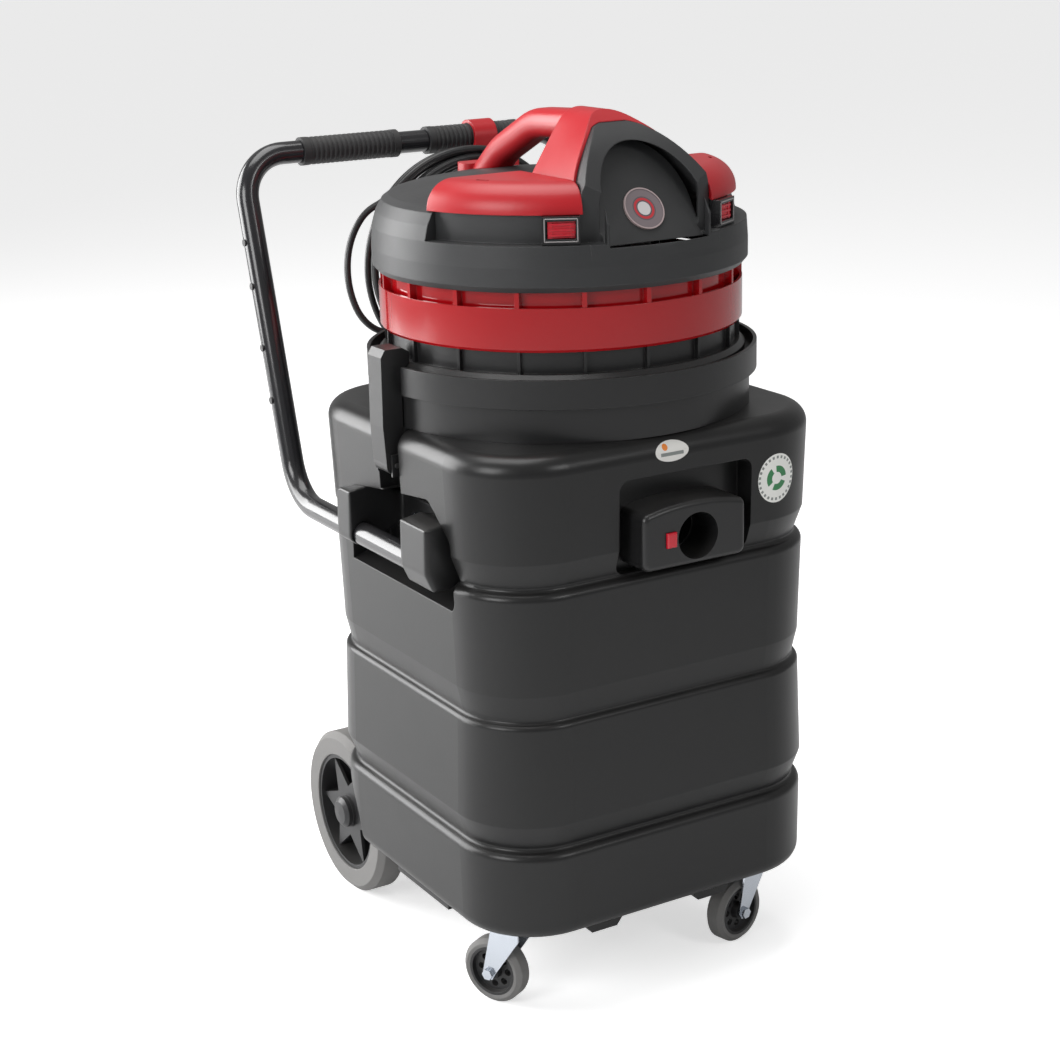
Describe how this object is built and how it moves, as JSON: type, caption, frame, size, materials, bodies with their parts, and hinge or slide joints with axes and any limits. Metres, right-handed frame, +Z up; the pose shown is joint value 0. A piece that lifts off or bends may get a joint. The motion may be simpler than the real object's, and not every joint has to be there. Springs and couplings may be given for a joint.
{
  "type": "shop vacuum",
  "caption": "Large wet and dry shop vacuum on wheels: grooved tank, lift-off motor head with latches, push handle, hose inlet and coiled cord.",
  "frame": {"origin": "middle of the footprint on the floor, measured without the cord", "axes": "+Z up; the hose inlet faces -Y and the push handle stands at +Y; +X is to the right of someone facing the back from the inlet side"},
  "size_m": [0.476, 0.5962, 0.958],
  "materials": {
    "tank_plastic": "satin rotomoulded black polyethylene",
    "black_plastic": "satin moulded black plastic",
    "cover_plastic": "fine-grained charcoal plastic",
    "red_plastic": "semi-gloss red plastic",
    "band_red": "glossy red plastic",
    "tube_paint": "gloss black powder coat on steel tube",
    "grip_rubber": "matt black ribbed rubber",
    "tyre_grey": "matt grey rubber tread",
    "hub_plastic": "black nylon wheel centre",
    "zinc": "bright zinc-plated steel",
    "steel": "plain steel",
    "gasket_foam": "closed-cell foam",
    "foam": "open-cell foam",
    "filter_cloth": "needled polyester cloth",
    "float_white": "white plastic",
    "badge_print": "lacquered badge",
    "cord_rubber": "black rubber cable sheath"
  },
  "bodies": {
    "root": {"tank": "tank_plastic", "collar": "black_plastic", "collar_screws": "steel", "seat_gasket": "gasket_foam", "inlet_block": "black_plastic", "inlet_tube": "black_plastic", "inlet_screws": "steel", "latch_pins": "steel", "latch_brackets": "black_plastic", "handle_brackets": "black_plastic", "caster_plates": "zinc", "handle_tube": "tube_paint", "tube_plugs": "hub_plastic", "bracket_bolts": "zinc", "cord_hook": "red_plastic", "axle_brackets": "black_plastic", "rear_axle": "steel", "axle_washers": "steel", "caster_screws": "zinc", "grip_left": "grip_rubber", "grip_right": "grip_rubber", "cord_lead": "cord_rubber", "cord_coil": "cord_rubber", "plug": "cord_rubber"},
    "head": {"head_base": "black_plastic", "red_band": "band_red", "head_cover": "cover_plastic", "top_cover": "red_plastic", "head_screws": "steel", "exhaust_foam": "foam", "badge": "badge_print", "motor_plate": "black_plastic", "float_cage": "black_plastic", "filter": "filter_cloth", "cord_gland": "cord_rubber", "motor_cases": "steel", "switch_housings": "black_plastic"},
    "release_button": {"release_button": "red_plastic"},
    "float_ball": {"float_ball": "float_white"},
    "latch_left": {"latch_left": "black_plastic"},
    "rear_wheel_left": {"wheel_hub_left": "hub_plastic", "tyre_left": "tyre_grey", "hub_cap_left": "hub_plastic"},
    "caster_swivel_left": {"caster_fork_left": "zinc", "caster_axle_left": "zinc"},
    "caster_wheel_left": {"caster_hub_left": "hub_plastic", "caster_tyre_left": "tyre_grey"},
    "rocker_left": {"rocker_left": "red_plastic"},
    "motor_rotor_left": {"motor_rotor_left": "steel"},
    "latch_right": {"latch_right": "black_plastic"},
    "rear_wheel_right": {"wheel_hub_right": "hub_plastic", "tyre_right": "tyre_grey", "hub_cap_right": "hub_plastic"},
    "caster_swivel_right": {"caster_fork_right": "zinc", "caster_axle_right": "zinc"},
    "caster_wheel_right": {"caster_hub_right": "hub_plastic", "caster_tyre_right": "tyre_grey"},
    "rocker_right": {"rocker_right": "red_plastic"},
    "motor_rotor_right": {"motor_rotor_right": "steel"}
  },
  "joints": [
    {"name": "head_lift", "type": "slide", "parent": "root", "child": "head", "axis": [0, 0, 1], "range_m": [0, 0.22]},
    {"name": "hose_release", "type": "slide", "parent": "root", "child": "release_button", "axis": [0, 1, 0], "range_m": [0, 0.003], "stiffness_N_per_m": 500},
    {"name": "float_rise", "type": "slide", "parent": "head", "child": "float_ball", "axis": [0, 0, 1], "range_m": [0, 0.0175]},
    {"name": "latch_left_fold", "type": "hinge", "parent": "root", "child": "latch_left", "pos_m": [-0.21725, -0.0604, 0.598], "axis": [0, -1, 0], "range_deg": [0, 100]},
    {"name": "rear_wheel_left_spin", "type": "hinge", "parent": "root", "child": "rear_wheel_left", "pos_m": [-0.167, 0.1696, 0.1], "axis": [1, 0, 0], "continuous": true},
    {"name": "caster_swivel_left", "type": "hinge", "parent": "root", "child": "caster_swivel_left", "pos_m": [-0.157, -0.1964, 0.096], "axis": [0, 0, 1], "continuous": true},
    {"name": "caster_wheel_left_spin", "type": "hinge", "parent": "caster_swivel_left", "child": "caster_wheel_left", "pos_m": [-0.16926, -0.17234, 0.0375], "axis": [0.891, 0.454, 0], "continuous": true},
    {"name": "rocker_left_tip", "type": "hinge", "parent": "head", "child": "rocker_left", "pos_m": [-0.0958, -0.21983, 0.852], "axis": [0, 0, -1], "range_deg": [0, 12]},
    {"name": "motor_left_spin", "type": "hinge", "parent": "head", "child": "motor_rotor_left", "pos_m": [-0.078, -0.0604, 0.76], "axis": [0, 0, 1], "continuous": true},
    {"name": "latch_right_fold", "type": "hinge", "parent": "root", "child": "latch_right", "pos_m": [0.21725, -0.0604, 0.598], "axis": [0, 1, 0], "range_deg": [0, 100]},
    {"name": "rear_wheel_right_spin", "type": "hinge", "parent": "root", "child": "rear_wheel_right", "pos_m": [0.167, 0.1696, 0.1], "axis": [1, 0, 0], "continuous": true},
    {"name": "caster_swivel_right", "type": "hinge", "parent": "root", "child": "caster_swivel_right", "pos_m": [0.157, -0.1964, 0.096], "axis": [0, 0, 1], "continuous": true},
    {"name": "caster_wheel_right_spin", "type": "hinge", "parent": "caster_swivel_right", "child": "caster_wheel_right", "pos_m": [0.13069, -0.20247, 0.0375], "axis": [-0.225, 0.9744, 0], "continuous": true},
    {"name": "rocker_right_tip", "type": "hinge", "parent": "head", "child": "rocker_right", "pos_m": [0.0958, -0.21983, 0.852], "axis": [0, 0, 1], "range_deg": [0, 12]},
    {"name": "motor_right_spin", "type": "hinge", "parent": "head", "child": "motor_rotor_right", "pos_m": [0.078, -0.0604, 0.76], "axis": [0, 0, 1], "continuous": true}
  ],
  "couplings": [
    {"joint": "latch_left_fold", "follows": "head_lift", "rad_per_m": 7.9},
    {"joint": "latch_right_fold", "follows": "head_lift", "rad_per_m": 7.9}
  ]
}
